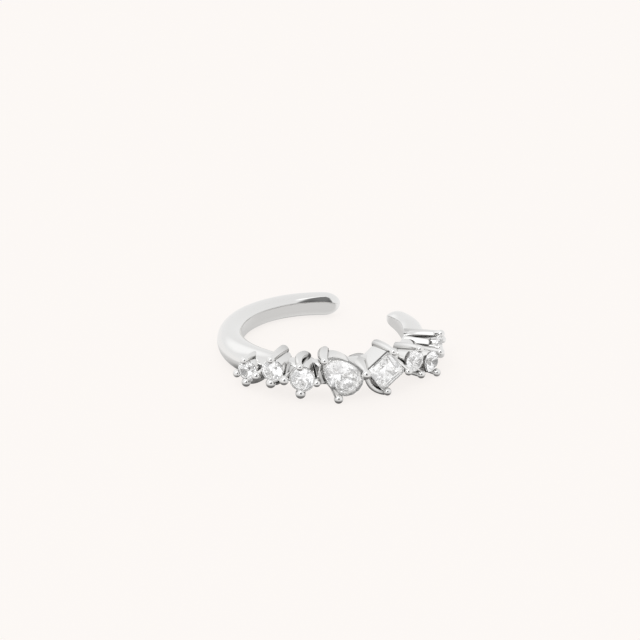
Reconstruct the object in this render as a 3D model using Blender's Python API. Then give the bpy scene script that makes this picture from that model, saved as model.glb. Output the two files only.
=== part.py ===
"""Open ear cuff: one cast silver piece with a row of eight clear cut stones.

Units are metres, +Z is up. The cuff lies on its side as it comes to rest on a table: the hollow
that goes round the ear opens upwards, the row of stones faces -Y and the gap between the two
tips faces +Y. The origin is on the table, under the middle of the cuff.

Angles round the ring are in degrees, 0 at +X and 90 at +Y. Heights are over the ring's middle
plane, before the cuff is leaned to its resting pose.
"""

import math

import bmesh
import bpy
import numpy as np
from mathutils import Matrix, Vector

MM = 0.001

# Shank: a round wire with a flat inner side, bent to an open ring. The tips are rounded over
# their length, and a small end face lies at a share of the first step of the rounding.
BORE_RADIUS = 5.05 * MM
SHANK_THICKNESS = 1.55 * MM
SHANK_WIDTH = 1.72 * MM
BACK_TIP_ANGLE = 79.0
FRONT_TIP_ANGLE = 41.0
TIP_LENGTH = 1.05 * MM
SECTION_POINTS = 17
SHANK_STATIONS = 46
TIP_STATIONS = 5
TIP_FACE_STEP = 0.25

# Sections of the shank from the back tip round to the front tip. The first column is the share
# of the way along the shank. The others are shares of the thickness, of the width, and of the
# section's own width that its flat inner side takes.
SHANK_SECTIONS = (
    # way, thickness, width, flat
    (0.00, 0.86, 0.84, 0.52),
    (0.15, 0.90, 0.84, 0.48),
    (0.30, 0.97, 0.96, 0.58),
    (0.37, 1.02, 1.04, 0.70),
    (0.42, 1.00, 1.08, 0.77),
    (0.47, 0.80, 1.06, 0.86),
    (0.54, 0.60, 0.84, 0.88),
    (0.60, 0.60, 0.96, 0.88),
    (0.66, 0.60, 1.00, 0.88),
    (0.72, 0.60, 0.90, 0.88),
    (0.79, 0.62, 0.50, 0.88),
    (0.87, 0.76, 0.50, 0.86),
    (0.92, 0.84, 0.80, 0.76),
    (1.00, 0.76, 0.64, 0.50),
)

# Settings
SETTING_DEPTH = 1.85 * MM
SEAT_GAP = 0.03 * MM
BACK_SHARE = 0.66
BACK_RISE = 0.25 * MM
FOOT_SINK = 0.18 * MM
WELL_LIP = 0.10 * MM
WELL_LIP_SHARE = 0.72
WELL_BACK_SHARE = 0.36
PROUD_BACK = 0.02 * MM
OUTLINE_POINTS = 16

# Prongs. Their bow is how far the middle of a prong stands out from a straight line.
PRONG_FOOT_RADIUS = 0.27 * MM
PRONG_NECK_RADIUS = 0.19 * MM
BEAD_RADIUS = 0.25 * MM
BEAD_LIFT = 0.15 * MM
PRONG_BOW = 0.08 * MM
PRONG_SIDES = 8
PRONG_STEPS = 3
BEAD_RINGS = 3
BEAD_CAP = 0.35

# Cut stones: proportions of the cut as shares of the stone's width
TABLE_SHARE = 0.56
STAR_SHARE = 0.81
STAR_RISE = 0.62
CROWN_SHARE = 0.16
GIRDLE_SHARE = 0.02
PAVILION_SHARE = 0.42
PAVILION_BREAK = 0.46
PAVILION_DROP = 0.60

PEAR_LENGTH = 3.07 * MM
PEAR_WIDTH = 2.22 * MM
PEAR_SIDE_POWER = 1.25
SQUARE_SIDE = 1.90 * MM
SQUARE_CORNER = 0.09
SQUARE_BOW = 0.03
LARGE_ROUND = 1.64 * MM
MEDIUM_ROUND = 1.45 * MM
SMALL_ROUND = 1.32 * MM

# The row of stones from its left end to its right end. Along is the share of the row's length,
# height is a share of the shank's width and reach is a share of the setting's depth. Faces is
# how far the stone faces past the ring's outward direction, and turn is in the stone's plane.
# Rise is how much higher the back of the setting lies, in shares of the usual rise.
ROW_START_ANGLE = -132.8
ROW_LENGTH = 15.50 * MM
ROW = (
    # name, cut, width, along, height, reach, faces, turn, rise
    ("stone_1_round", "round", SMALL_ROUND, 0.000, -0.05, 0.98, 9.0, 0.0, 0.8),
    ("stone_2_round", "round", MEDIUM_ROUND, 0.126, 0.22, 1.00, 2.0, 0.0, 1.0),
    ("stone_3_round", "round", LARGE_ROUND, 0.252, 0.04, 1.00, 0.0, 0.0, 1.1),
    ("stone_4_pear", "pear", PEAR_WIDTH, 0.408, 0.21, 1.03, 2.0, 135.0, 0.5),
    ("stone_5_square", "square", SQUARE_SIDE, 0.602, 0.10, 1.02, -7.0, -10.0, 1.0),
    ("stone_6_round", "round", MEDIUM_ROUND, 0.766, 0.06, 1.02, -12.0, 0.0, -0.8),
    ("stone_7_round", "round", SMALL_ROUND, 0.847, -0.20, 1.27, -14.0, 0.0, 0.6),
    ("stone_8_round", "round", SMALL_ROUND, 1.000, -0.09, 1.19, -4.0, 0.0, 0.8),
)

# Prongs by their stone's place in the row, counted from 0. Direction is where a prong stands
# round its stone, 0 along the row and 90 up. Beyond is how far past the girdle its bead lies, in
# bead radii, so that a shared one stands between two stones. Broad and deep are the sizes of its
# foot, across its direction and along it, in foot radii.
PRONGS = (
    # stone, direction, beyond, broad, deep
    (0, 99.0, 0.2, 1.0, 1.0),
    (0, 203.0, 0.2, 1.0, 1.0),
    (0, 273.0, 0.2, 1.1, 1.0),
    (0, 352.0, 0.5, 1.0, 1.0),
    (1, 93.0, 0.2, 1.2, 1.0),
    (1, 267.0, 0.2, 1.1, 1.0),
    (2, 98.0, 0.2, 1.1, 1.0),
    (2, 184.0, 1.2, 1.5, 1.3),
    (2, 265.0, 0.3, 1.1, 1.0),
    (2, 354.0, 0.5, 1.0, 0.9),
    (3, 135.0, 0.1, 1.9, 1.0),
    (3, 262.0, 0.8, 1.2, 1.1),
    (3, 0.0, 1.0, 1.6, 2.0),
    (4, 72.0, 0.2, 1.3, 1.0),
    (4, 270.0, 0.3, 1.1, 1.0),
    (4, 350.0, 1.0, 1.3, 1.0),
    (5, 71.0, 0.3, 1.0, 1.0),
    (5, 292.0, 1.4, 1.1, 1.0),
    (6, 31.0, 0.8, 1.1, 1.0),
    (6, 294.0, 0.9, 1.0, 1.0),
    (7, 88.0, 0.2, 1.4, 1.0),
    (7, 180.0, 0.2, 1.0, 1.0),
    (7, 270.0, 0.2, 1.0, 1.0),
    (7, 0.0, 0.2, 1.0, 1.0),
)

# Edges shorter than this are left over from the Booleans
SHORTEST_EDGE = 0.0005 * MM

# Densities in kilograms for each cubic metre, for the balance of the resting pose
SILVER_DENSITY = 10360.0
STONE_DENSITY = 5700.0
STEEPEST_LEAN = 30.0


def clear_scene():
    for old in list(bpy.data.objects):
        bpy.data.objects.remove(old)


def collection_of(name):
    made = bpy.data.collections.new(name)
    bpy.context.scene.collection.children.link(made)
    return made


def material_of(name, colour, roughness, metallic):
    made = bpy.data.materials.new(name)
    made.use_nodes = True
    shader = made.node_tree.nodes["Principled BSDF"]
    shader.inputs["Base Color"].default_value = (*colour, 1.0)
    shader.inputs["Roughness"].default_value = roughness
    shader.inputs["Metallic"].default_value = metallic
    return made


def object_of(name, shape, collection, material=None):
    """Puts a bmesh, with its faces pointing out, in a named object."""
    shape.normal_update()
    bmesh.ops.recalc_face_normals(shape, faces=shape.faces)
    mesh = bpy.data.meshes.new(name)
    shape.to_mesh(mesh)
    shape.free()
    if material:
        mesh.materials.append(material)
    made = bpy.data.objects.new(name, mesh)
    collection.objects.link(made)
    return made


def hull_of(points):
    """The convex solid round a set of points."""
    shape = bmesh.new()
    for point in points:
        shape.verts.new(point)
    made = bmesh.ops.convex_hull(shape, input=shape.verts)
    inside = [v for v in made["geom_interior"] if isinstance(v, bmesh.types.BMVert)]
    bmesh.ops.delete(shape, geom=inside, context="VERTS")
    return shape


def loft_of(rings):
    """A closed solid through rings of as many points each, with a face at both ends."""
    shape = bmesh.new()
    rows = [[shape.verts.new(point) for point in ring] for ring in rings]
    count = len(rows[0])
    for first, second in zip(rows, rows[1:]):
        for i in range(count):
            j = (i + 1) % count
            shape.faces.new((first[i], first[j], second[j], second[i]))
    shape.faces.new(rows[0])
    shape.faces.new(rows[-1])
    bmesh.ops.triangulate(shape, faces=shape.faces)
    return shape


def ring_point(angle, radius, height):
    turned = math.radians(angle)
    return Vector((radius * math.cos(turned), radius * math.sin(turned), height))


def shank_section(thickness, width, flat):
    """Points (out from the bore, up) of an ellipse that is cut off by the flat inner side."""
    cut = math.sqrt(max(1 - flat**2, 0.0))
    half = thickness / (1 + cut)
    middle = thickness - half
    start = math.acos(-cut)
    turns = np.linspace(-start, start, SECTION_POINTS)
    return [(middle + half * math.cos(a), width / 2 * math.sin(a)) for a in turns]


def shank():
    """The open ring: sections lofted from one rounded tip to the other."""
    way, thick, wide, flat = (np.array(column) for column in zip(*SHANK_SECTIONS))
    sweep = 360.0 + FRONT_TIP_ANGLE - BACK_TIP_ANGLE
    tip = TIP_LENGTH / (math.radians(sweep) * (BORE_RADIUS + SHANK_THICKNESS / 2))
    rounding = [tip * (1 - math.cos(a)) for a in np.linspace(0, math.pi / 2, TIP_STATIONS + 1)]
    first = [rounding[1] * TIP_FACE_STEP] + rounding[1:-1]
    stations = first + list(np.linspace(tip, 1 - tip, SHANK_STATIONS))
    stations += [1 - s for s in reversed(first)]
    rings = []
    for s in stations:
        thickness = SHANK_THICKNESS * float(np.interp(s, way, thick))
        width = SHANK_WIDTH * float(np.interp(s, way, wide))
        from_end = min(s, 1 - s, tip) / tip
        shrink = math.sqrt(1 - (1 - from_end) ** 2)
        middle = thickness / 2
        ring = []
        for out, up in shank_section(thickness, width, float(np.interp(s, way, flat))):
            radius = BORE_RADIUS + middle + (out - middle) * shrink
            ring.append(ring_point(BACK_TIP_ANGLE + sweep * s, radius, up * shrink))
        rings.append(ring)
    return loft_of(rings)


def round_point(share, width, grow):
    a = 2 * math.pi * share
    radius = width / 2 + grow
    return (radius * math.cos(a), radius * math.sin(a))


def pear_point(share, width, grow):
    """A pear's outline: half a circle, and two bowed sides that meet at a tip on +X."""
    a = 2 * math.pi * share
    half = width / 2 + grow
    shift = (PEAR_LENGTH - width) / 2
    if math.cos(a) <= 0:
        return (half * math.cos(a) - shift, half * math.sin(a))
    tip = PEAR_LENGTH - width / 2 + grow
    side = math.copysign(abs(math.sin(a)) ** PEAR_SIDE_POWER, math.sin(a))
    return (tip * math.cos(a) - shift, half * side)


def square_point(share, width, grow):
    """A square's outline with barely bowed sides and clipped corners, which lie on the axes."""
    side = math.floor(share * 4 + 1e-9)
    per_side = OUTLINE_POINTS // 4
    step = round(share * OUTLINE_POINTS) % per_side / (per_side - 1)
    along = SQUARE_CORNER + (1 - 2 * SQUARE_CORNER) * step
    corner = (width / 2 + grow) * math.sqrt(2)
    a = math.radians(90 * side)
    start = Vector((math.cos(a), math.sin(a))) * corner
    end = Vector((-math.sin(a), math.cos(a))) * corner
    bow = 1 + SQUARE_BOW * 4 * along * (1 - along)
    return tuple(start.lerp(end, along) * bow)


CUTS = {"round": round_point, "pear": pear_point, "square": square_point}


def girdle(cut, width, turn, grow=0.0):
    """Points (across, up) of a stone's outline, made larger all round by grow."""
    points = [CUTS[cut](i / OUTLINE_POINTS, width, grow) for i in range(OUTLINE_POINTS)]
    c, s = math.cos(math.radians(turn)), math.sin(math.radians(turn))
    return [(x * c - y * s, x * s + y * c) for x, y in points]


def cut_stone(outline, width):
    """The facets' corners: a flat table towards +Z, the crown, a thin girdle, the pavilion
    below it and its point."""
    edge = GIRDLE_SHARE * width
    crown = CROWN_SHARE * width
    deep = PAVILION_SHARE * width
    points = [Vector((0.0, 0.0, -edge - deep))]
    for i, (x, y) in enumerate(outline):
        points.append(Vector((x, y, edge)))
        points.append(Vector((x, y, -edge)))
        if i % 2:
            points.append(Vector((x * STAR_SHARE, y * STAR_SHARE, edge + crown * STAR_RISE)))
        else:
            points.append(Vector((x * TABLE_SHARE, y * TABLE_SHARE, edge + crown)))
            drop = -edge - deep * PAVILION_DROP
            points.append(Vector((x * PAVILION_BREAK, y * PAVILION_BREAK, drop)))
    return hull_of(points)


def setting_frame(along, height, reach, faces):
    """Places a setting with its middle at the girdle: +X along the row, +Y up, +Z out of the face."""
    radius = BORE_RADIUS + SETTING_DEPTH * reach
    angle = ROW_START_ANGLE + math.degrees(along * ROW_LENGTH / (BORE_RADIUS + SETTING_DEPTH))
    turned = Matrix.Rotation(math.radians(angle + faces), 4, "Z")
    stand_up = Matrix(((0, 0, 1, 0), (1, 0, 0, 0), (0, 1, 0, 0), (0, 0, 0, 1)))
    return Matrix.Translation(ring_point(angle, radius, height * SHANK_WIDTH)) @ turned @ stand_up


def basket(outline, back):
    """The wall under a stone: it narrows from the girdle back to the bore."""
    front = [Vector((x, y, 0.0)) for x, y in outline]
    return hull_of(front + [back @ point for point in front])


def light_well(outline, back):
    """The hollow under a stone: it narrows to a hole at the bore."""
    lip = [Vector((x * WELL_LIP_SHARE, y * WELL_LIP_SHARE, WELL_LIP)) for x, y in outline]
    hole = WELL_BACK_SHARE / BACK_SHARE
    return hull_of(lip + [back @ Vector((x * hole, y * hole, -FOOT_SINK)) for x, y in outline])


def prong(outline, back, direction, beyond, broad, deep):
    """A claw lofted along a bowed line, from its broad foot to a round bead that grips the stone."""
    a = math.radians(direction)
    out = Vector((math.cos(a), math.sin(a), 0.0))
    side = Vector((-math.sin(a), math.cos(a), 0.0))
    edge = max(x * out.x + y * out.y for x, y in outline)
    grip = out * (edge + BEAD_RADIUS * beyond)
    head = grip + Vector((0.0, 0.0, BEAD_LIFT))
    foot = back @ grip
    neck = math.acos(PRONG_NECK_RADIUS / BEAD_RADIUS)
    reach = 1 - BEAD_RADIUS * math.sin(neck) / (head - foot).length
    sections = []
    for i in range(PRONG_STEPS + 1):
        t = reach * i / PRONG_STEPS
        share = i / PRONG_STEPS
        thick = PRONG_FOOT_RADIUS * deep * (1 - share) + PRONG_NECK_RADIUS * share
        wide = PRONG_FOOT_RADIUS * broad * (1 - share) + PRONG_NECK_RADIUS * share
        bow = out * PRONG_BOW * 4 * t * (1 - t)
        sections.append((foot.lerp(head, t) + bow, thick, wide))
    ahead = (head - foot).normalized()
    for i in range(1, BEAD_RINGS + 1):
        b = -neck + (math.pi / 2 + neck) * i / (BEAD_RINGS + BEAD_CAP)
        radius = BEAD_RADIUS * math.cos(b)
        sections.append((head + ahead * BEAD_RADIUS * math.sin(b), radius, radius))
    turns = [2 * math.pi * (i + 0.5) / PRONG_SIDES for i in range(PRONG_SIDES)]
    tilted = (out - ahead * out.dot(ahead)).normalized()
    rings = []
    for middle, thick, wide in sections:
        rings.append([middle + tilted * thick * math.cos(t) + side * wide * math.sin(t) for t in turns])
    return loft_of(rings)


def boolean(target, others, operation):
    """Adds one exact Boolean with every object of a collection."""
    step = target.modifiers.new(operation, "BOOLEAN")
    step.operation = operation
    step.operand_type = "COLLECTION"
    step.collection = others


def apply_booleans(target, used):
    """Gives the target the mesh that its modifiers make, and removes the collections they used."""
    graph = bpy.context.evaluated_depsgraph_get()
    made = bpy.data.meshes.new_from_object(target.evaluated_get(graph))
    shape = bmesh.new()
    shape.from_mesh(made)
    bmesh.ops.dissolve_degenerate(shape, dist=SHORTEST_EDGE, edges=shape.edges)
    bmesh.ops.triangulate(shape, faces=shape.faces)
    shape.to_mesh(made)
    shape.free()
    target.modifiers.clear()
    target.data = made
    for collection in used:
        for other in list(collection.objects):
            bpy.data.objects.remove(other)
        bpy.data.collections.remove(collection)


def bore(collection):
    """The space for the ear, cut through the backs of the settings."""
    shape = bmesh.new()
    radius = BORE_RADIUS - PROUD_BACK
    bmesh.ops.create_cone(
        shape, cap_ends=True, segments=SHANK_STATIONS, radius1=radius, radius2=radius, depth=4 * radius
    )
    return object_of("bore", shape, collection)


def add_settings(cuff, settings, cutters, clear):
    """Adds each stone, its basket and prongs, and what its seat and light well cut away."""
    for place, (name, cut, width, along, height, reach, faces, turn, rise) in enumerate(ROW):
        frame = setting_frame(along, height, reach, faces)
        depth = SETTING_DEPTH * reach + FOOT_SINK
        narrow = Matrix.Diagonal((BACK_SHARE, BACK_SHARE, 1.0, 1.0))
        back = Matrix.Translation((0.0, BACK_RISE * rise, -depth)) @ narrow
        outline = girdle(cut, width, turn)
        wider = girdle(cut, width, turn, SEAT_GAP)
        metal = [basket(outline, back)]
        metal += [prong(outline, back, *claw) for stone, *claw in PRONGS if stone == place]
        for shape in metal:
            shape.transform(frame)
            object_of("setting", shape, settings)
        for shape in (cut_stone(wider, width + 2 * SEAT_GAP), light_well(outline, back)):
            shape.transform(frame)
            object_of("cut", shape, cutters)
        stone_shape = cut_stone(outline, width)
        stone_shape.transform(frame)
        object_of(name, stone_shape, cuff, clear)


def weight_and_moment(part, density):
    """The mass of a closed mesh and the mass times its centre, from tetrahedra to the origin."""
    mesh = part.data
    mesh.calc_loop_triangles()
    mass = 0.0
    moment = Vector()
    for triangle in mesh.loop_triangles:
        a, b, c = (mesh.vertices[i].co for i in triangle.vertices)
        piece = a.dot(b.cross(c)) / 6 * density
        mass += piece
        moment += (a + b + c) / 4 * piece
    return mass, moment


def resting_turn(points, centre):
    """The turn that lays the cuff on the side of its convex hull that carries its balance."""
    hull = hull_of(points)
    bmesh.ops.recalc_face_normals(hull, faces=hull.faces)
    down = Vector((0.0, 0.0, -1.0))
    best = None
    for face in hull.faces:
        lean = face.normal.angle(down)
        if lean > math.radians(STEEPEST_LEAN):
            continue
        foot = centre + face.normal * face.normal.dot(face.verts[0].co - centre)
        inside = all(
            (loop.link_loop_next.vert.co - loop.vert.co).cross(foot - loop.vert.co).dot(face.normal) >= 0
            for loop in face.loops
        )
        if inside and (best is None or lean < best[0]):
            best = (lean, face.normal.rotation_difference(down).to_matrix().to_4x4())
    hull.free()
    return best[1] if best else Matrix.Identity(4)


def lay_down(parts, cuff):
    """Parents the parts to an empty that leans them to rest, with the origin under their middle."""
    mass = 0.0
    moment = Vector()
    points = []
    for part in parts:
        density = SILVER_DENSITY if part.name == "silver_cuff" else STONE_DENSITY
        own_mass, own_moment = weight_and_moment(part, density)
        mass += own_mass
        moment += own_moment
        points += [v.co.copy() for v in part.data.vertices]
    turn = resting_turn(points, moment / mass)
    leaned = [turn @ point for point in points]
    low = Vector([min(p[axis] for p in leaned) for axis in range(3)])
    high = Vector([max(p[axis] for p in leaned) for axis in range(3)])
    pose = bpy.data.objects.new("resting_pose", None)
    cuff.objects.link(pose)
    middle = (low + high) / 2
    pose.matrix_world = Matrix.Translation((-middle.x, -middle.y, -low.z)) @ turn
    for part in parts:
        part.parent = pose


def build():
    clear_scene()
    cuff = collection_of("ear_cuff")
    settings = collection_of("settings")
    cutters = collection_of("cutters")
    silver = material_of("silver", (0.88, 0.88, 0.87), 0.10, 1.0)
    clear = material_of("clear_stone", (0.96, 0.97, 0.98), 0.03, 0.0)
    body = object_of("silver_cuff", shank(), cuff, silver)
    add_settings(cuff, settings, cutters, clear)
    bore(cutters)
    boolean(body, settings, "UNION")
    boolean(body, cutters, "DIFFERENCE")
    apply_booleans(body, (settings, cutters))
    lay_down([o for o in cuff.objects if o.type == "MESH"], cuff)


if __name__ == "__main__":
    build()
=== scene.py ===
"""Ear cuff of polished silver with a row of eight clear stones: the finished look of the part.

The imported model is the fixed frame. The band, the settings and the claws are drawn finer than
the solid they stand for, and each stone is cut again with all its facets. Lengths are in metres.

Places are first worked out round the ring: angles in degrees, 0 at +X and 90 at +Y, heights over
the ring's middle plane. The ring is then leaned to the pose in which the cuff rests on a table.
"""

import math

import bmesh
import bpy
import numpy as np
from bpy.props import FloatProperty, FloatVectorProperty, PointerProperty
from mathutils import Matrix, Vector


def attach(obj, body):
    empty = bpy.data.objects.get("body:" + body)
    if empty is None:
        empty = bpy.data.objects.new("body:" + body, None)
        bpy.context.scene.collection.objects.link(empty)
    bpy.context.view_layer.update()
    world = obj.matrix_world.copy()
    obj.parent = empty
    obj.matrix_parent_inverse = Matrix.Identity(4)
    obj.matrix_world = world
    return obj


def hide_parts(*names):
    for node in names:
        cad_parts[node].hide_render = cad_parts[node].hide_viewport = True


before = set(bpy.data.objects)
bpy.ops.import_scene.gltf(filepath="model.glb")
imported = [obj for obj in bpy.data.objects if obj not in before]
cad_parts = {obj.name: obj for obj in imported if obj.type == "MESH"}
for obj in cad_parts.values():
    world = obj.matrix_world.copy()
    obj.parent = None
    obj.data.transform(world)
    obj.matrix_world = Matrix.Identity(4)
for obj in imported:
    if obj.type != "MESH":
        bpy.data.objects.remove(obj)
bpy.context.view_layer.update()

bl_info = {
    "name": "Ear Cuff with Eight Stones",
    "version": (1, 0, 0),
    "blender": (4, 5, 0),
    "location": "View3D > Sidebar > Ear Cuff",
    "description": "Models a polished silver ear cuff with a row of clear stones",
    "category": "Add Mesh",
}

MM = 0.001

# Resting pose: the ring leans this far, with its top towards this heading
REST_LEAN = 3.1914
REST_HEADING = 123.232
RING_CENTRE = (-0.5808 * MM, 0.5064 * MM, 1.0512 * MM)

# The backs of the settings and of the claws are this far behind the band's inner side
BACK_INSET = 0.05 * MM

# Faces that meet at more than this many degrees have a sharp edge between them
SHARP_ANGLE = 32.0

# Ends of the open band
BACK_TIP_ANGLE = 79.0
FRONT_TIP_ANGLE = 41.0

# Sections of the band from the back tip round to the front tip: the share of the way, then
# shares of the thickness, of the width, of the section's width that its flat side takes, of the
# edge's softness, and of the bevel that fills the upper inner corner
BAND_SECTIONS = (
    (0.00, 0.86, 0.84, 0.52, 2.0, 0.1),
    (0.02, 0.86, 0.84, 0.52, 2.0, 1.2),
    (0.05, 0.87, 0.84, 0.51, 1.5, 0.6),
    (0.10, 0.88, 0.84, 0.49, 1.0, 0.0),
    (0.15, 0.90, 0.84, 0.48, 1.0, 0.0),
    (0.30, 0.97, 0.96, 0.58, 1.0, 0.0),
    (0.37, 1.02, 1.04, 0.70, 1.0, 0.0),
    (0.42, 1.00, 1.08, 0.77, 1.0, 0.0),
    (0.47, 0.80, 1.06, 0.86, 1.0, 0.0),
    (0.54, 0.60, 0.84, 0.88, 1.0, 0.0),
    (0.60, 0.60, 0.96, 0.88, 1.0, 0.0),
    (0.66, 0.60, 1.00, 0.88, 1.0, 0.0),
    (0.72, 0.60, 0.90, 0.88, 1.0, 0.0),
    (0.79, 0.62, 0.50, 0.88, 1.0, 0.0),
    (0.87, 0.76, 0.50, 0.86, 1.0, 0.0),
    (0.92, 0.90, 0.76, 0.76, 1.0, 0.0),
    (1.00, 0.76, 0.56, 0.50, 1.0, 0.0),
)

# The bevel leans outwards by this many degrees
BEVEL_LEAN = 27.0

# How the band is drawn: points round a section, rows along the band and along the rounding of a
# tip, the angle in radians at which that rounding starts, how blunt it is seen from above, and
# the turn of the section over which the bevel comes in. Sections are averaged over this share of
# the way to both sides, with weights that would fade out a little beyond it, at so many places.
SECTION_POINTS = 128
BAND_ROWS = 300
TIP_ROWS = 20
TIP_START = 0.05
TIP_BLUNTNESS = 2.8
BEVEL_TURN = 0.4
AVERAGE_REACH = 0.022
AVERAGE_FADE = 1.2
AVERAGE_PLACES = 9

# The row of stones from its left end to its right end. Along is the share of the row's length,
# height a share of the band's width, reach a share of the settings' depth. Faces is how far the
# stone faces past the ring's outward direction, turn is in the stone's plane, and rise is how
# much higher the back of its setting lies, in shares of the usual rise.
ROW_START_ANGLE = -132.8
ROW_LENGTH = 15.50 * MM
ROW = (
    # node, cut, size, along, height, reach, faces, turn, rise
    ("stone_1_round", "round", "small_round", 0.000, -0.05, 0.98, 9.0, 0.0, 0.8),
    ("stone_2_round", "round", "medium_round", 0.126, 0.22, 1.00, 2.0, 0.0, 1.0),
    ("stone_3_round", "round", "large_round", 0.252, 0.04, 1.00, 0.0, 0.0, 1.1),
    ("stone_4_pear", "pear", "pear_width", 0.408, 0.21, 1.03, 2.0, 135.0, 0.5),
    ("stone_5_square", "square", "square_side", 0.602, 0.10, 1.02, -7.0, -10.0, 1.0),
    ("stone_6_round", "round", "medium_round", 0.766, 0.06, 1.02, -12.0, 0.0, -0.8),
    ("stone_7_round", "round", "small_round", 0.847, -0.20, 1.27, -14.0, 0.0, 0.6),
    ("stone_8_round", "round", "small_round", 1.000, -0.09, 1.19, -4.0, 0.0, 0.8),
)

# Claws by their stone's place in the row, counted from 0. Direction is where a claw stands round
# its stone, 0 along the row and 90 up. Beyond is how far past the stone's edge its bead lies, in
# bead radii. Broad and deep are the sizes of its foot across and along its direction. Sway bends
# its middle sideways, in bead radii, arch bows it out, in shares of the usual bow, and a full
# claw keeps its breadth longer before it narrows. Shift moves its foot along the row, in bead
# radii. Bead is the size of its bead in shares of the usual.
CLAWS = (
    # stone, direction, beyond, broad, deep, sway, arch, full, shift, bead
    (0, 99.0, 0.2, 1.0, 0.6, 0.0, 1.0, 1.0, 0.0, 1.0),
    (0, 203.0, 0.2, 1.0, 1.0, 0.0, 1.0, 1.0, 0.0, 1.0),
    (0, 273.0, 0.2, 1.1, 1.0, 0.0, 1.0, 1.0, 0.0, 1.15),
    (0, 352.0, 0.5, 1.0, 1.0, 0.0, 1.0, 1.0, 0.0, 1.25),
    (1, 93.0, 0.2, 1.2, 1.0, 0.0, 1.0, 1.0, 0.0, 1.0),
    (1, 267.0, 0.2, 1.1, 1.0, 0.0, 1.0, 1.0, 0.0, 1.25),
    (2, 98.0, 0.2, 1.1, 1.0, 1.0, 2.5, 1.6, 0.0, 1.0),
    (2, 184.0, 1.2, 1.5, 2.6, 0.0, 1.0, 1.0, 0.8, 1.2),
    (2, 265.0, 0.3, 1.1, 1.0, 0.0, 1.0, 1.0, 0.0, 1.3),
    (2, 354.0, 0.5, 1.2, 1.9, 0.0, 1.0, 1.0, 0.9, 1.0),
    (3, 135.0, 0.1, 1.5, 1.0, 0.0, 1.0, 2.6, 0.0, 1.0),
    (3, 262.0, 0.6, 1.4, 1.1, 0.0, 1.0, 1.4, 0.0, 1.15),
    (3, 0.0, 0.5, 1.6, 2.7, 0.0, 1.0, 1.0, 1.2, 1.25),
    (4, 72.0, 0.2, 1.3, 1.0, 0.0, 1.0, 1.6, 0.0, 1.0),
    (4, 270.0, 0.3, 1.1, 1.0, 0.0, 1.0, 1.0, 0.0, 1.0),
    (4, 350.0, 1.0, 1.3, 1.0, 0.0, 1.0, 1.0, 0.0, 1.0),
    (5, 71.0, 0.3, 1.0, 1.0, 0.0, 1.0, 1.4, 0.0, 1.0),
    (5, 292.0, 1.4, 1.1, 1.0, 0.0, 1.0, 1.0, 0.0, 1.0),
    (6, 31.0, 0.8, 1.1, 1.0, -1.0, 1.2, 1.0, -0.8, 1.0),
    (6, 294.0, 0.9, 1.0, 1.0, 0.0, 1.0, 1.0, 0.0, 1.0),
    (7, 88.0, 0.0, 1.4, 0.8, 0.0, 0.3, 1.4, 0.0, 1.0),
    (7, 180.0, 0.2, 1.0, 1.0, 0.0, 1.0, 1.0, 0.0, 1.0),
    (7, 270.0, 0.2, 1.0, 1.0, 0.0, 1.0, 1.0, 0.0, 1.0),
    (7, 0.0, 0.2, 1.0, 1.0, 0.0, 1.0, 1.0, 0.0, 1.0),
)

# Windows cut in the walls: the stone, the direction of the window's middle, half of its width in
# degrees, and how far back it reaches as a share of the wall
WINDOWS = (
    # stone, direction, half, reach
    (4, 215.0, 42.0, 0.55),
    (6, 215.0, 40.0, 0.45),
)

# How a wall is drawn: points round the stone, rows down its outer and up its inner side, the
# inner side's ends as shares of the way back, its size and how much it narrows, and the rows of
# its rim. Marks set painted shade, darker and duller silver, at a wall's back, rim and claw's
# foot.
WALL_POINTS = 192
WALL_OUTER_ROWS = 18
WALL_INNER_ROWS = 14
WALL_INNER_WAY = (0.98, 0.03)
WALL_INNER_SIZE = 0.72
WALL_INNER_TAPER = 0.10
WALL_RIM = (
    # way, size
    (0.012, 0.88),
    (0.000, 0.92),
    (-0.006, 0.95),
    (-0.004, 0.985),
)
WALL_SHADE = 0.2
RIM_SHADE = 0.4
FOOT_SHADE = 0.5

# How claws and rails are drawn: rows along a claw, its sides, the rows of its bead, how near the
# bead's pole the last of them is in radians, and at how many points of a stone's edge its reach
# is looked for. Then rows along a rail, its sides, the angle in radians at which its first row
# lies, and the share of the way over which an end is rounded.
CLAW_ROWS = 30
CLAW_SIDES = 28
BEAD_ROWS = 17
BEAD_POLE = 0.06
EDGE_SAMPLES = 720
RAIL_ROWS = 48
RAIL_SIDES = 20
RAIL_START = 0.12
RAIL_ROUNDING = 0.06

# Outlines of the pear and of the square: how full the pear's sides are, and where a corner of the
# square is clipped as a share of its diagonal
PEAR_SIDE_POWER = 1.25
SQUARE_CLIP = 0.93

# Corners of the cuts. Sizes are shares of the stone's, heights are shares of the crown's or the
# pavilion's, and turns are in radians from a corner or from the middle of a side.
STAR_SIZE = 0.79
LOWER_SIZE = 0.24
SQUARE_TABLE = 0.86
SQUARE_STEP = (0.80, 0.62)
SQUARE_CHEVRONS = ((0.86, 0.34), (0.44, 0.70))
CLIP_TURN = 0.11
SIDE_TURN = 0.35

# Looks of the silver: how finely haze and waves repeat, the shares of the haze that its clearest
# and dullest patches have, the haze that a corner adds, how open to the sky a place is where the
# corner's painted shade starts and where it is full, that full painted shade, and how clear the
# waves are
HAZE_SCALE = 900.0
WAVE_SCALE = 650.0
HAZE_SPREAD = (0.75, 1.3)
RECESS_HAZE = 0.14
CORNER_OPEN = (0.72, 0.30)
CORNER_DARK = 0.9
WAVE_STRENGTH = 0.05

# Looks of the stones: how finely their cloud repeats, and the haze where it is densest
CLOUD_SCALE = 2500.0
CLOUD_HAZE = 0.03

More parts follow.
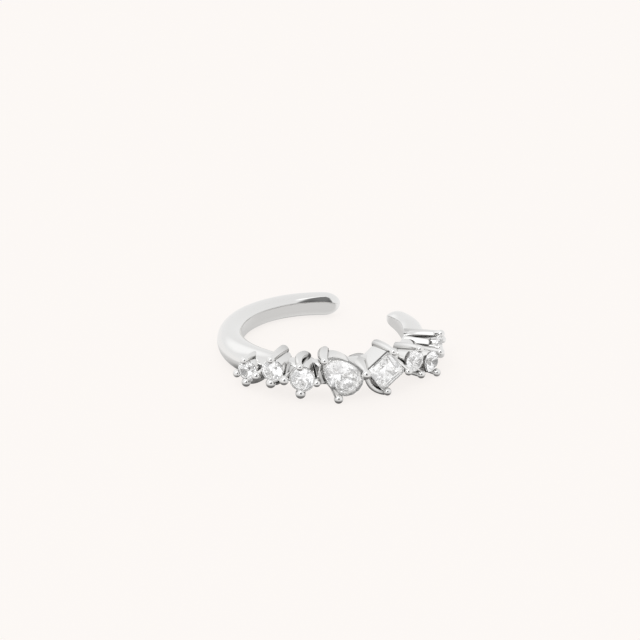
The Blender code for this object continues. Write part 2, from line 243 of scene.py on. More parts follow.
# Patches of the light tent: heading and angle over the floor of the middle, how far the full
# patch and its soft rim reach, and the brightness
TENT_PATCHES = (
    # heading, angle, full, rim, brightness
    (142.0, 40.0, 12.0, 34.0, 1.0),
    (-122.0, 42.0, 10.0, 20.0, 1.2),
    (-95.0, 76.0, 8.0, 20.0, 1.3),
    (-91.0, 27.0, 14.0, 28.0, 0.19),
    (-70.0, 17.0, 7.0, 18.0, 0.15),
)

# The key light, to the left of the camera and over it: heading and angle over the floor,
# distance and side in metres, and brightness
KEY_HEADING = (-122.0, 42.0)
KEY_DISTANCE = 0.58
KEY_SIDE = 0.20
KEY_STRENGTH = 2.2

# Half of the floor's side in metres. The camera looks at a point so far to the left of the
# ring's centre and over it in the picture, and its sensor is this wide in millimetres.
FLOOR_HALF = 0.6
TARGET_LEFT = 0.15 * MM
TARGET_UP = 1.125 * MM
SENSOR_WIDTH = 36.0

# What the silver reflects of the floor is dimmer within the core of a round area that takes in
# the ring's hollow and the row, and brightens towards the area's rim: a painted shadow of the
# ring and the row. Straight down it is dimmer still, within a lesser core. Steep is the range of
# the slant, 0 for straight down, over which that fades, and steep outside is the share of the
# brightness that is left outside the area.
SHADE_MIDDLE = (0.0, -3.5 * MM, 0.0)
SHADE = (8.0 * MM, 9.6 * MM)
UNDER_SHADE = (6.0 * MM, 7.5 * MM)
STEEP = (0.30, 0.58)
STEEP_OUTSIDE = 0.9

# Thin rails and plates: the stone, three points in its frame that a parabola runs through, half
# of the breadth and half of the thickness, how dark its painted shade is, and where the broad side
# faces. The darkest are dark lines of painted shade, put where shadow gaps lie between the parts.
# Lengths are in millimetres.
OUTWARDS = (0.0, 0.0, 1.0)
UP_AND_BACK = (-0.64, 0.77, 0.0)
RIGHT_AND_UP = (0.75, 0.50, 0.43)
LEFT_AND_OUT = (-0.50, 0.30, 0.80)
RAILS = (
    # stone, points, half sizes, painted shade, facing
    (4, ((-1.10, -0.41, -0.50), (-0.74, -1.13, -0.35), (0.03, -1.49, -0.10)),
     (0.16, 0.13), 0.12, OUTWARDS),
    (4, ((-1.05, -0.30, -0.75), (-0.62, -0.88, -0.60), (0.00, -1.25, -0.40)),
     (0.24, 0.10), 1.0, OUTWARDS),
    (3, ((-0.66, 1.30, 0.00), (0.44, 0.90, 0.00), (1.27, -0.12, 0.00)),
     (0.05, 0.07), 0.0, OUTWARDS),
    (3, ((-0.46, -0.56, 0.06), (-0.38, -1.05, 0.08), (-0.21, -1.51, 0.10)),
     (0.15, 0.11), 0.0, OUTWARDS),
    (0, ((0.08, -0.74, -0.10), (0.26, -0.86, -0.60), (0.46, -0.74, -1.20)),
     (0.12, 0.12), 0.8, OUTWARDS),
    (1, ((0.06, -0.84, -0.10), (0.22, -0.90, -0.50), (0.42, -0.70, -1.10)),
     (0.12, 0.12), 0.8, OUTWARDS),
    (4, ((-1.27, 0.27, -0.12), (-0.55, 0.78, -0.12), (0.18, 1.29, -0.12)),
     (0.035, 0.06), 1.0, OUTWARDS),
    (5, ((-0.38, 0.70, -0.10), (-0.75, 0.23, -0.10), (-0.50, -0.58, -0.10)),
     (0.045, 0.07), 1.0, OUTWARDS),
    (3, ((-1.24, 0.89, 0.05), (-1.14, 0.30, 0.05), (-0.99, -0.27, 0.05)),
     (0.045, 0.04), 1.0, OUTWARDS),
    (3, ((-1.27, 0.30, -0.25), (-1.22, -0.15, -0.25), (-1.08, -0.55, -0.25)),
     (0.16, 0.05), 0.1, OUTWARDS),
    (2, ((0.49, 0.60, -1.30), (0.75, 0.42, -0.90), (0.92, 0.05, -0.50)),
     (0.16, 0.04), 0.75, RIGHT_AND_UP),
    (2, ((-0.94, 0.72, -0.90), (-1.09, 0.36, -0.60), (-1.20, 0.02, -0.30)),
     (0.16, 0.05), 0.4, LEFT_AND_OUT),
    (2, ((1.08, 0.90, -0.50), (1.03, 0.50, -0.30), (0.96, 0.12, -0.10)),
     (0.07, 0.06), 0.0, OUTWARDS),
    (6, ((-0.40, 0.54, -0.12), (-0.52, 0.03, -0.12), (-0.34, -0.62, -0.12)),
     (0.10, 0.08), 1.0, OUTWARDS),
    (7, ((-0.25, 0.66, -2.25), (-0.32, 0.77, -1.20), (-0.20, 0.75, -0.20)),
     (0.17, 0.03), 0.0, UP_AND_BACK),
    (7, ((-0.85, 0.56, -2.15), (-0.88, 0.51, -1.30), (-0.80, 0.42, -0.45)),
     (0.23, 0.03), 0.0, UP_AND_BACK),
    (7, ((-0.55, 0.62, -1.95), (-0.66, 0.76, -1.10), (-0.50, 0.67, -0.05)),
     (0.05, 0.05), 1.0, UP_AND_BACK),
    (7, ((-0.72, 0.04, -0.42), (-0.72, 0.34, -0.42), (-0.72, 0.64, -0.42)),
     (0.04, 0.04), 1.0, OUTWARDS),
)


def length(name, description, default):
    return FloatProperty(
        name=name, description=description, default=default, unit="LENGTH", precision=5
    )


def share(name, description, default):
    return FloatProperty(name=name, description=description, default=default, min=0.0, max=2.0)


def colour(name, description, default):
    return FloatVectorProperty(
        name=name,
        description=description,
        default=default,
        subtype="COLOR",
        size=3,
        min=0.0,
        max=1.0,
    )


class CuffBand(bpy.types.PropertyGroup):
    """Sizes of the open band."""

    bore_radius: length("Bore radius", "Radius of the flat inner side", 5.05 * MM)
    thickness: length("Thickness", "From the inner side to the outer side", 1.55 * MM)
    width: length("Width", "From edge to edge", 1.72 * MM)
    tip_length: length("Tip length", "How long the rounding of each tip is", 1.05 * MM)
    edge: length("Edge", "How soft the edge of the flat inner side is", 0.022 * MM)
    bevel: length("Bevel", "How far the bevel at the back tip is filled in", 0.20 * MM)
    # Painted shade: how dark the line along the upper edge of the inner side is
    edge_shade_line: share("Edge line", "How dull the upper edge of the inner side is", 0.5)


class CuffSettings(bpy.types.PropertyGroup):
    """Sizes of the tapered walls that carry the stones."""

    depth: length("Depth", "From the bore to the stones' edges", 1.85 * MM)
    back_share: share("Back", "Size of the back as a share of the front", 0.66)
    back_rise: length("Back rise", "How much higher the back lies than the front", 0.25 * MM)
    foot_sink: length("Foot sink", "How far a wall runs past the bore before it is cut", 0.18 * MM)
    waist: share("Waist", "How far the wall draws in between its ends", 0.03)
    rim_drop: share("Rim drop", "How far behind the stone's edge the wall starts", 0.05)


class CuffClaws(bpy.types.PropertyGroup):
    """Sizes of the claws and of the round beads at their heads."""

    foot_radius: length("Foot radius", "Half of a claw's thickness at the bore", 0.27 * MM)
    neck_radius: length("Neck radius", "Half of a claw's thickness under its bead", 0.19 * MM)
    bead_radius: length("Bead radius", "Radius of the bead that grips the stone", 0.25 * MM)
    bead_lift: length("Bead lift", "How far the bead stands over the stone's edge", 0.15 * MM)
    bow: length("Bow", "How far the middle of a claw stands out", 0.08 * MM)


class CuffStones(bpy.types.PropertyGroup):
    """Sizes and proportions of the cut stones."""

    small_round: length("Small round", "Width of the small round stones", 1.32 * MM)
    medium_round: length("Medium round", "Width of the medium round stones", 1.45 * MM)
    large_round: length("Large round", "Width of the large round stone", 1.64 * MM)
    pear_width: length("Pear width", "Width of the pear", 2.22 * MM)
    pear_length: length("Pear length", "Length of the pear", 3.07 * MM)
    square_side: length("Square side", "Side of the square stone", 1.90 * MM)
    table: share("Table", "Width of the table as a share of the stone's", 0.56)
    crown: share("Crown", "Height of the crown as a share of the width", 0.16)
    girdle: share("Girdle", "Half of the girdle's height as a share of the width", 0.02)
    pavilion: share("Pavilion", "Depth of the pavilion as a share of the width", 0.42)


class CuffFinish(bpy.types.PropertyGroup):
    """Colours and polish of the silver and the stones."""

    silver: colour("Silver", "Colour of the polished silver", (0.93, 0.925, 0.915))
    # Painted shade: the dark colour that corners, marks and dark rails take
    recess_shade: colour("Recess", "Colour of the silver in deep corners", (0.22, 0.215, 0.21))
    haze: share("Haze", "How soft the reflections in the silver are", 0.07)
    corner: length("Corner", "How far a wall nearby darkens the silver", 0.35 * MM)
    wave: length("Wave", "Height of the waves that polishing leaves", 0.05 * MM)
    stone: colour("Stone", "Colour of the stones", (1.0, 1.0, 1.0))
    cloud: colour("Cloud", "Colour of the faint cloud in the stones", (0.985, 0.99, 1.0))
    fire: FloatProperty(name="Index", description="Refractive index of the stones", default=2.1)
    # Painted light: the stones glow faintly by themselves
    inner_glow: share("Life", "How far the stones' inner reflections lighten them", 0.07)


class CuffStudio(bpy.types.PropertyGroup):
    """Floor, light and camera."""

    floor: colour("Floor", "Colour of the floor", (1.0, 0.962, 0.935))
    reflected: colour("Reflected", "Colour of the floor as silver reflects it", (1.0, 0.995, 0.99))
    lit: share("Floor light", "Brightness of the floor", 0.852)
    shadow: share("Shadow", "How much of the room's light the floor shows", 0.14)
    # Painted shadow: how dark the floor that silver reflects is in the ring, round it and under
    # the row
    mirrored: share("Mirrored", "Brightness of the floor in the ring as silver reflects it", 0.53)
    around: share("Around", "Brightness of the floor round the ring as silver reflects it", 0.76)
    underside: share("Underside", "How much of that brightness is left right under the row", 0.17)
    low: share("Low light", "Brightness of the room near the horizon", 0.86)
    high: share("High light", "Brightness of the room overhead", 0.80)
    field: length("Field", "Width of the picture at the cuff", 40.0 * MM)
    focal: FloatProperty(name="Lens", description="Focal length in millimetres", default=400.0)
    azimuth: FloatProperty(name="Azimuth", description="Heading of the camera", default=-90.78)
    elevation: FloatProperty(name="Elevation", description="Angle over the floor", default=25.16)
    roll: FloatProperty(name="Roll", description="Turn of the picture", default=1.93)


def resting_pose():
    """The turn that leans the ring towards its heading, after which its centre is put in place."""
    towards = math.radians(REST_HEADING)
    hinge = Vector((-math.sin(towards), math.cos(towards), 0.0))
    return Matrix.Translation(RING_CENTRE) @ Matrix.Rotation(math.radians(REST_LEAN), 4, hinge)


def placed(points, matrix):
    """An array of points turned and moved by a 4 x 4 matrix."""
    m = np.array(matrix)
    return points @ m[:3, :3].T + m[:3, 3]


def lerp(first, second, way):
    return first + (second - first) * way


def outside_bore(points, radius):
    """Points of the ring that lie within the radius are moved straight out to it."""
    reach = np.hypot(points[..., 0], points[..., 1])
    push = np.maximum(radius / reach, 1.0)[..., None]
    return points * np.concatenate((push, push, np.ones_like(push)), axis=-1)


def loop_quads(rows, columns, wrap_rows=False):
    """The quads of a grid whose columns join up, as an array of corner numbers."""
    r = np.arange(rows if wrap_rows else rows - 1)[:, None]
    c = np.arange(columns)[None, :]
    ahead = (c + 1) % columns
    below = (r + 1) % rows
    quads = (r * columns + c, r * columns + ahead, below * columns + ahead, below * columns + c)
    return np.stack(np.broadcast_arrays(*quads), axis=-1).reshape(-1, 4)


class Shell:
    """Gathers surfaces given as grids of points, keeps them out of the bore, and makes one mesh
    of them."""

    def __init__(self, bore):
        self.bore = bore
        self.points = []
        self.faces = []
        self.marks = []
        self.count = 0

    def add(self, grid, mark, wrap_rows=False):
        """Adds a grid of points whose columns join up. Unless its rows join up too, a pole at
        the middle of its first row and of its last row closes it."""
        grid = outside_bore(grid, self.bore)
        rows, columns = grid.shape[:2]
        points = grid.reshape(-1, 3)
        faces = (loop_quads(rows, columns, wrap_rows) + self.count).tolist()
        marks = np.broadcast_to(mark, (rows, columns)).reshape(-1)
        if not wrap_rows:
            poles = np.stack((grid[0].mean(axis=0), grid[-1].mean(axis=0)))
            c = np.arange(columns)
            ahead = (c + 1) % columns
            top = rows * columns
            start = np.stack((ahead, c, np.full(columns, top)), axis=-1)
            last = (rows - 1) * columns
            end = np.stack((c + last, ahead + last, np.full(columns, top + 1)), axis=-1)
            faces += (np.concatenate((start, end)) + self.count).tolist()
            points = np.concatenate((points, poles))
            marks = np.concatenate((marks, (marks[0], marks[-1])))
        self.points.append(points)
        self.marks.append(marks)
        self.faces += faces
        self.count += len(points)

    def mesh(self, name):
        """The mesh with its faces outwards, smooth, with the marks of painted shade as its recess
        attribute.
        """
        made = bpy.data.meshes.new(name)
        points = placed(np.concatenate(self.points), resting_pose())
        made.from_pydata(points.tolist(), [], self.faces)
        marks = made.attributes.new("recess_shade", "FLOAT", "POINT")
        marks.data.foreach_set("value", np.concatenate(self.marks).astype(np.float32))
        shape = bmesh.new()
        shape.from_mesh(made)
        bmesh.ops.recalc_face_normals(shape, faces=shape.faces)
        shape.to_mesh(made)
        shape.free()
        made.polygons.foreach_set("use_smooth", np.ones(len(made.polygons), bool))
        made.set_sharp_from_angle(angle=math.radians(SHARP_ANGLE))
        return made


def put(name, mesh, material, node):
    """Puts a finished mesh in the scene in place of a solid, riding on the cuff."""
    mesh.materials.append(material)
    piece = bpy.data.objects.new(name, mesh)
    bpy.context.scene.collection.objects.link(piece)
    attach(piece, "root")
    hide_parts(node)
    return piece


def smoothed(way, rows, at):
    """Values read off a table with straight lines between its rows, then averaged over a short
    way on both sides, so that no kink shows in a reflection."""
    shifts = np.linspace(-AVERAGE_REACH, AVERAGE_REACH, AVERAGE_PLACES)
    weights = 1.0 + np.cos(np.pi * shifts / (AVERAGE_REACH * AVERAGE_FADE))
    read = [np.interp(np.clip(at + shift, 0, 1), way, rows) for shift in shifts]
    return np.average(np.stack(read), axis=0, weights=weights)


def band_surface(band):
    """The open band. A point at share s of the way and turn t of the section lies at

        out = max(middle + half cos t, 0), softened over the edge length
        up = width / 2 sin t

    with the thickness, width, flat share and softness read off the table at s. In the upper inner
    corner a bevel that leans outwards is filled in, up to its size at s. The section shrinks
    towards each tip, upwards as a quarter circle does and outwards more bluntly. The upper edge
    of the flat side carries a painted dark line: painted shade along that edge."""
    way, thick, wide, flat, soft, fill = np.array(BAND_SECTIONS).T
    sweep = 360.0 + FRONT_TIP_ANGLE - BACK_TIP_ANGLE
    tip = band.tip_length / (math.radians(sweep) * (band.bore_radius + band.thickness / 2))
    first = tip * (1 - np.cos(np.linspace(TIP_START, math.pi / 2, TIP_ROWS)))
    s = np.concatenate((first, np.linspace(tip, 1 - tip, BAND_ROWS)[1:-1], (1 - first)[::-1]))
    from_end = np.clip(np.minimum(s, 1 - s) / tip, 0, 1)
    shrink = np.sqrt(1 - (1 - from_end) ** 2)[:, None]
    blunt = ((1 - (1 - from_end) ** TIP_BLUNTNESS) ** (1 / TIP_BLUNTNESS))[:, None]
    thickness = (band.thickness * smoothed(way, thick, s))[:, None]
    width = (band.width * smoothed(way, wide, s))[:, None]
    flat = smoothed(way, flat, s)[:, None]
    half = thickness / (1 + np.sqrt(1 - flat**2))
    t = np.linspace(0, 2 * math.pi, SECTION_POINTS, endpoint=False)[None, :]
    out = thickness - half + half * np.cos(t)
    edge = band.edge * smoothed(way, soft, s)[:, None]
    # Painted shade: a dark line along the upper edge of the flat side
    mark = band.edge_shade_line * np.exp(-((out / band.edge) ** 2)) * (np.sin(t) > 0) * shrink
    up = width / 2 * np.sin(t)
    lean = (up - width / 2 * flat) * math.tan(math.radians(BEVEL_LEAN))
    corner = np.clip((t - math.pi / 2) / BEVEL_TURN, 0, 1) * (t < math.pi)
    size = band.bevel * smoothed(way, fill, s)[:, None] * corner
    out -= np.clip(out - np.maximum(lean, 0), 0, size)
    out = edge * np.logaddexp(0, out / edge)
    out = thickness / 2 + (out - thickness / 2) * blunt
    up = up * shrink
    angle = np.radians(BACK_TIP_ANGLE + sweep * s)[:, None]
    radius = band.bore_radius + out
    return np.stack((radius * np.cos(angle), radius * np.sin(angle), up), axis=-1), mark


def round_outline(a, width, stones):
    return width / 2 * np.stack((np.cos(a), np.sin(a)), axis=-1)


def pear_outline(a, width, stones):
    """Half a circle, and two bowed sides that meet at a tip on +X."""
    half = width / 2
    shift = (stones.pear_length - width) / 2
    tip = stones.pear_length - half
    ahead = np.cos(a) > 0
    side = np.sign(np.sin(a)) * np.abs(np.sin(a)) ** PEAR_SIDE_POWER
    x = np.where(ahead, tip, half) * np.cos(a) - shift
    return np.stack((x, half * np.where(ahead, side, np.sin(a))), axis=-1)


def square_outline(a, width, stones):
    """A square with clipped corners on the axes: the lesser of the distance to a side and the
    distance to a corner's clip, in each direction."""
    quarter = (a + math.pi / 4) % (math.pi / 2) - math.pi / 4
    eighth = a % (math.pi / 2) - math.pi / 4
    half = width / 2
    side = half / np.cos(eighth)
    clip = half * math.sqrt(2) * SQUARE_CLIP / np.cos(quarter)
    radius = np.minimum(side, clip)
    return np.stack((radius * np.cos(a), radius * np.sin(a)), axis=-1)


OUTLINES = {"round": round_outline, "pear": pear_outline, "square": square_outline}


class Place:
    """Where a stone and its setting lie. +X runs along the row, +Y up and +Z out of the face."""

    def __init__(self, row, band, settings, stones):
        self.node, self.cut, size, along, height, reach, faces, turn, rise = row
        self.width = getattr(stones, size)
        self.stones = stones
        c, s = math.cos(math.radians(turn)), math.sin(math.radians(turn))
        self.spin = np.array(((c, s), (-s, c)))
        self.depth = settings.depth * reach + settings.foot_sink
        self.rise = settings.back_rise * rise
        self.back_share = settings.back_share
        radius = band.bore_radius + settings.depth * reach
        travelled = along * ROW_LENGTH / (band.bore_radius + settings.depth)
        angle = ROW_START_ANGLE + math.degrees(travelled)
        a = math.radians(angle)
        middle = Vector((radius * math.cos(a), radius * math.sin(a), height * band.width))
        turned = Matrix.Rotation(math.radians(angle + faces), 4, "Z")
        stand_up = Matrix(((0, 0, 1, 0), (1, 0, 0, 0), (0, 1, 0, 0), (0, 0, 0, 1)))
        self.frame = Matrix.Translation(middle) @ turned @ stand_up

    def outline(self, a):
        """The edge of the stone at the angles a, turned in its plane."""
        return OUTLINES[self.cut](a, self.width, self.stones) @ self.spin

    def back(self, front):
        """A point of the front, carried to the back of the setting: drawn in, raised and sunk."""
        moved = front * (self.back_share, self.back_share, 1.0)
        return moved + (0.0, self.rise, -self.depth)


def wall_surface(place, settings, windows):
    """The tapered wall under a stone, as one loop of points carried round the stone's edge: down
    its outer side, through the back, and up its inner side to the rim. A share w of the way back
    draws the edge in evenly, and the waist draws it in by a sine in the middle. The wall starts
    a little behind the stone, and a window lowers its rim by a smooth hump."""
    a = np.linspace(0, 2 * math.pi, WALL_POINTS, endpoint=False)
    front = np.concatenate((place.outline(a), np.zeros((len(a), 1))), axis=1)
    start = np.full(len(a), settings.rim_drop)
    for direction, half, reach in windows:
        off = (np.degrees(a) - direction + 180) % 360 - 180
        start += reach * np.clip(1 - (off / half) ** 2, 0, 1)
    outer = np.linspace(0.0, 1.0, WALL_OUTER_ROWS)
    inner = np.linspace(*WALL_INNER_WAY, WALL_INNER_ROWS)
    rim_way, rim_size = np.array(WALL_RIM).T
    way = np.concatenate((outer, inner, rim_way))
    outer_size = 1.0 - settings.waist * np.sin(math.pi * outer)
    inner_size = WALL_INNER_SIZE - WALL_INNER_TAPER * inner
    grow = np.concatenate((outer_size, inner_size, rim_size))
    w = start[None] + way[:, None] * (1 - start[None])
    shaped = front[None] * np.stack((grow, grow, np.ones_like(grow)), axis=-1)[:, None]
    points = lerp(shaped, place.back(shaped), w[:, :, None])
    # The marks paint shade on the back of the wall and on its rim
    mark = np.concatenate((WALL_SHADE * outer, 0 * inner, np.full(len(rim_way), RIM_SHADE)))
    return placed(points, place.frame), mark[:, None]


def claw_surface(place, claws, direction, beyond, broad, deep, sway, arch, full, shift, bead):
    """A claw carried along a bowed line from its foot to its bead. The sections are ellipses that
    narrow from foot to neck by a power of the way, and then the circles of a ball."""
    a = math.radians(direction)
    out = np.array((math.cos(a), math.sin(a), 0.0))
    side = np.array((-math.sin(a), math.cos(a), 0.0))
    edge = (place.outline(np.linspace(0, 2 * math.pi, EDGE_SAMPLES)) @ out[:2]).max()
    grip = out * (edge + claws.bead_radius * beyond)
    head = grip + (0.0, 0.0, claws.bead_lift)
    foot = place.back(grip) + (claws.bead_radius * shift, 0.0, 0.0)
    line = head - foot
    ahead = line / np.linalg.norm(line)
    tilted = out - ahead * (out @ ahead)
    tilted /= np.linalg.norm(tilted)
    radius = claws.bead_radius * bead
    neck = math.acos(claws.neck_radius / radius)
    reach = 1 - radius * math.sin(neck) / np.linalg.norm(line)
    way = np.linspace(0, 1, CLAW_ROWS)
    t = (way * reach)[:, None]
    bend = out * claws.bow * arch + side * claws.bead_radius * sway
    stem = foot + line * t + bend * 4 * t * (1 - t)
    thick = lerp(claws.foot_radius * deep, claws.neck_radius, way)
    wide = lerp(claws.foot_radius * broad, claws.neck_radius, way**full)
    b = np.linspace(-neck, math.pi / 2 - BEAD_POLE, BEAD_ROWS + 1)[1:]
    ball = head + ahead * radius * np.sin(b)[:, None]
    ring = radius * np.cos(b)
    middle = np.concatenate((stem, ball))
    thick = np.concatenate((thick, ring))[:, None, None]
    wide = np.concatenate((wide, ring))[:, None, None]
    turn = np.linspace(0, 2 * math.pi, CLAW_SIDES, endpoint=False)[None, :, None]
    points = middle[:, None] + tilted * thick * np.cos(turn) + side * wide * np.sin(turn)
    # The mark paints shade on the claw's foot, where it meets the wall
    mark = np.concatenate((FOOT_SHADE * (1 - way) ** 2, 0 * b))[:, None]
    return placed(points, place.frame), mark


def rail_surface(place, points, size, mark, facing):
    """A thin rail with round ends, carried along the parabola

        (1 - t)(1 - 2t) first + 4t(1 - t) middle + t(2t - 1) last

    with sections that are ellipses across it, and quarter circles at its ends."""
    first, middle, last = np.array(points) * MM
    t = (1 - np.cos(np.linspace(RAIL_START, math.pi - RAIL_START, RAIL_ROWS)))[:, None] / 2
    path = (1 - t) * (1 - 2 * t) * first + 4 * t * (1 - t) * middle + t * (2 * t - 1) * last
    ahead = np.gradient(path, axis=0)
    ahead /= np.linalg.norm(ahead, axis=1, keepdims=True)
    across = np.cross(ahead, facing)
    across /= np.linalg.norm(across, axis=1, keepdims=True)
    deep = np.cross(across, ahead)
    from_end = np.clip(np.minimum(t, 1 - t) / RAIL_ROUNDING, 0, 1)
    shrink = np.sqrt(1 - (1 - from_end) ** 2)[:, :, None]
    turn = np.linspace(0, 2 * math.pi, RAIL_SIDES, endpoint=False)[None, :, None]
    wide, thick = np.array(size) * MM
    ring = across[:, None] * wide * np.cos(turn) + deep[:, None] * thick * np.sin(turn)
    return placed(path[:, None] + ring * shrink, place.frame), mark


def level(flat, height):
    """Points of a plane at one height over it."""
    return np.concatenate((flat, np.full((len(flat), 1), height)), axis=1)


def brilliant_points(place, stones):
    """The corners of a brilliant cut. Table, star and girdle corners lie on kite-shaped facets:
    the crown's height falls evenly from the table's corner to the girdle, so at a star corner it
    is its share there, and the pavilion's corners are found the same way."""
    edge = stones.girdle * place.width
    crown = stones.crown * place.width
    deep = stones.pavilion * place.width
    eight = np.arange(8) * math.pi / 4
    between = eight + math.pi / 8
    sixteen = np.arange(16) * math.pi / 8
    lean = math.cos(math.pi / 8)
    rise = crown * (1 - STAR_SIZE * lean) / (1 - stones.table)
    drop = deep * (1 - LOWER_SIZE * lean)
    rings = (
        level(place.outline(eight) * stones.table, edge + crown),
        level(place.outline(between) * STAR_SIZE, edge + rise),
        level(place.outline(sixteen), edge),
        level(place.outline(sixteen), -edge),
        level(place.outline(between) * LOWER_SIZE, -edge - drop),
        np.array(((0.0, 0.0, -edge - deep),)),
    )
    return np.concatenate(rings)


def princess_points(place, stones):
    """The corners of a square cut: a square table, a step and a girdle with clipped corners, and
    chevrons below, whose ribs run from the sides' middles to the diagonals."""
    edge = stones.girdle * place.width
    crown = stones.crown * place.width
    deep = stones.pavilion * place.width
    corners = np.arange(4) * math.pi / 2
    sides = corners + math.pi / 4
    clips = (corners - CLIP_TURN, corners + CLIP_TURN)
    girdle = np.concatenate((*clips, sides, sides - SIDE_TURN, sides + SIDE_TURN))

    def ring(angles, size, height):
        flat = place.width / 2 * size * np.stack((np.cos(angles), np.sin(angles)), axis=-1)
        return level(flat @ place.spin, height)

    step_size, step_height = SQUARE_STEP
    rings = (
        ring(corners, SQUARE_TABLE, edge + crown),
        ring(sides, step_size, edge + crown * step_height),
        level(place.outline(girdle), edge),
        level(place.outline(girdle), -edge),
        *(ring(corners, size, -edge - deep * height) for size, height in SQUARE_CHEVRONS),
        np.array(((0.0, 0.0, -edge - deep),)),
    )
    return np.concatenate(rings)


def stone_mesh(place, stones):
    """The facets are the sides of the smallest convex solid round the cut's corners."""
    corners = princess_points if place.cut == "square" else brilliant_points
    points = placed(placed(corners(place, stones), place.frame), resting_pose())
    mesh = bpy.data.meshes.new(place.node + "_cut")
    mesh.from_pydata(points.tolist(), [], [])
    shape = bmesh.new()
    shape.from_mesh(mesh)
    made = bmesh.ops.convex_hull(shape, input=shape.verts)
    inside = [v for v in made["geom_interior"] if isinstance(v, bmesh.types.BMVert)]
    bmesh.ops.delete(shape, geom=inside, context="VERTS")
    bmesh.ops.recalc_face_normals(shape, faces=shape.faces)
    shape.to_mesh(mesh)
    shape.free()
    return mesh


def feed(tree, node, sockets):
    """Sets each of a node's sockets to a value, or links it to an output."""
    for socket, given in sockets.items():
        if isinstance(given, bpy.types.NodeSocket):
            tree.links.new(given, node.inputs[socket])
        else:
            node.inputs[socket].default_value = given


def add_node(tree, kind, sockets, **settings):
    """A new node with its settings, and with its sockets set or linked."""
    node = tree.nodes.new(kind)
    for name, value in settings.items():
        setattr(node, name, value)
    feed(tree, node, sockets)
    return node


def carried(tree, value, given, wanted, **settings):
    """A value carried from one range over to another, and held within it."""
    sockets = {"Value": value, "From Min": given[0], "From Max": given[1]}
    sockets |= {"To Min": wanted[0], "To Max": wanted[1]}
    return add_node(tree, "ShaderNodeMapRange", sockets, **settings).outputs["Result"]


def computed(tree, operation, *values):
    """The result of one step of arithmetic."""
    node = add_node(tree, "ShaderNodeMath", dict(enumerate(values)), operation=operation)
    return node.outputs[0]


def mixed(tree, factor, first, second, data_type="RGBA"):
    """Two colours or values mixed by a factor."""
    sockets = {"Factor": factor, "A": first, "B": second}
    return add_node(tree, "ShaderNodeMix", sockets, data_type=data_type).outputs["Result"]


def noise(tree, scale, detail):
    """Noise that lies still on the piece."""
    here = add_node(tree, "ShaderNodeTexCoord", {}).outputs["Object"]
    sockets = {"Vector": here, "Scale": scale, "Detail": detail}
    return add_node(tree, "ShaderNodeTexNoise", sockets).outputs["Fac"]


def new_material(name):
    """A material with its nodes and its shader."""
    material = bpy.data.materials.new(name)
    material.use_nodes = True
    tree = material.node_tree
    return material, tree, tree.nodes["Principled BSDF"]


def polish_group():
    """Buffed metal: soft patches of haze, and the faint waves that hand polishing leaves."""
    found = bpy.data.node_groups.get("hand polish")
    if found:
        return found
    tree = bpy.data.node_groups.new("hand polish", "ShaderNodeTree")
    for side, names in (("INPUT", ("Haze", "Recess")), ("OUTPUT", ("Roughness", "Height"))):
        for name in names:
            tree.interface.new_socket(name, in_out=side, socket_type="NodeSocketFloat")
    given = add_node(tree, "NodeGroupInput", {}).outputs
    patches = noise(tree, HAZE_SCALE, detail=4.0)
    waves = noise(tree, WAVE_SCALE, detail=1.0)
    spread = carried(tree, patches, (0.3, 0.7), HAZE_SPREAD)
    haze = computed(tree, "MULTIPLY", spread, given["Haze"])
    dulled = computed(tree, "MULTIPLY_ADD", given["Recess"], RECESS_HAZE, haze)
    add_node(tree, "NodeGroupOutput", {"Roughness": dulled, "Height": waves})
    return tree


def silver_material(name, finish):
    """Polished silver, duller and darker in corners: painted shade where other parts are near and
    where the marks lie.
    """
    material, tree, shader = new_material(name)
    mark = add_node(tree, "ShaderNodeAttribute", {}, attribute_name="recess_shade").outputs["Fac"]
    # Painted shade: where other parts are near, the colour darkens towards the dark corner colour
    open_sky = add_node(tree, "ShaderNodeAmbientOcclusion", {"Distance": finish.corner}, samples=8)
    corner_shade = carried(tree, open_sky.outputs["AO"], CORNER_OPEN, (0.0, CORNER_DARK))
    dull = computed(tree, "MAXIMUM", corner_shade, mark)
    tint = mixed(tree, dull, (*finish.silver, 1.0), (*finish.recess_shade, 1.0))
    sockets = {"Haze": finish.haze, "Recess": dull}
    polish = add_node(tree, "ShaderNodeGroup", sockets, node_tree=polish_group()).outputs
    sockets = {"Strength": WAVE_STRENGTH, "Distance": finish.wave, "Height": polish["Height"]}
    bump = add_node(tree, "ShaderNodeBump", sockets).outputs["Normal"]
    feed(tree, shader, {"Metallic": 1.0, "Base Color": tint, "Normal": bump})
    feed(tree, shader, {"Roughness": polish["Roughness"]})
    return material


def stone_material(name, finish):
    """Clear cut stone with a trace of cloud, so that no two facets are quite alike, and a faint
    glow of painted light.
    """
    material, tree, shader = new_material(name)
    cloud = noise(tree, CLOUD_SCALE, detail=2.0)
    sockets = {
        "Base Color": mixed(tree, cloud, (*finish.stone, 1.0), (*finish.cloud, 1.0)),
        "Roughness": carried(tree, cloud, (0.0, 1.0), (0.0, CLOUD_HAZE)),
        "Transmission Weight": 1.0,
        "IOR": finish.fire,
        # Painted light: a faint glow of the stone itself
        "Emission Color": (1.0, 1.0, 1.0, 1.0),
        "Emission Strength": finish.inner_glow,
    }
    feed(tree, shader, sockets)
    return material


def places(scene):
    return [Place(row, scene.cuff_band, scene.cuff_settings, scene.cuff_stones) for row in ROW]


class MakeBand(bpy.types.Operator):
    """Model the open band"""

    bl_idname = "ear_cuff.make_band"
    bl_label = "Band"

    def execute(self, context):
        shell = Shell(context.scene.cuff_band.bore_radius)
        shell.add(*band_surface(context.scene.cuff_band))
        silver = silver_material("band silver", context.scene.cuff_finish)
        put("band", shell.mesh("band"), silver, "silver_cuff")
        return {"FINISHED"}


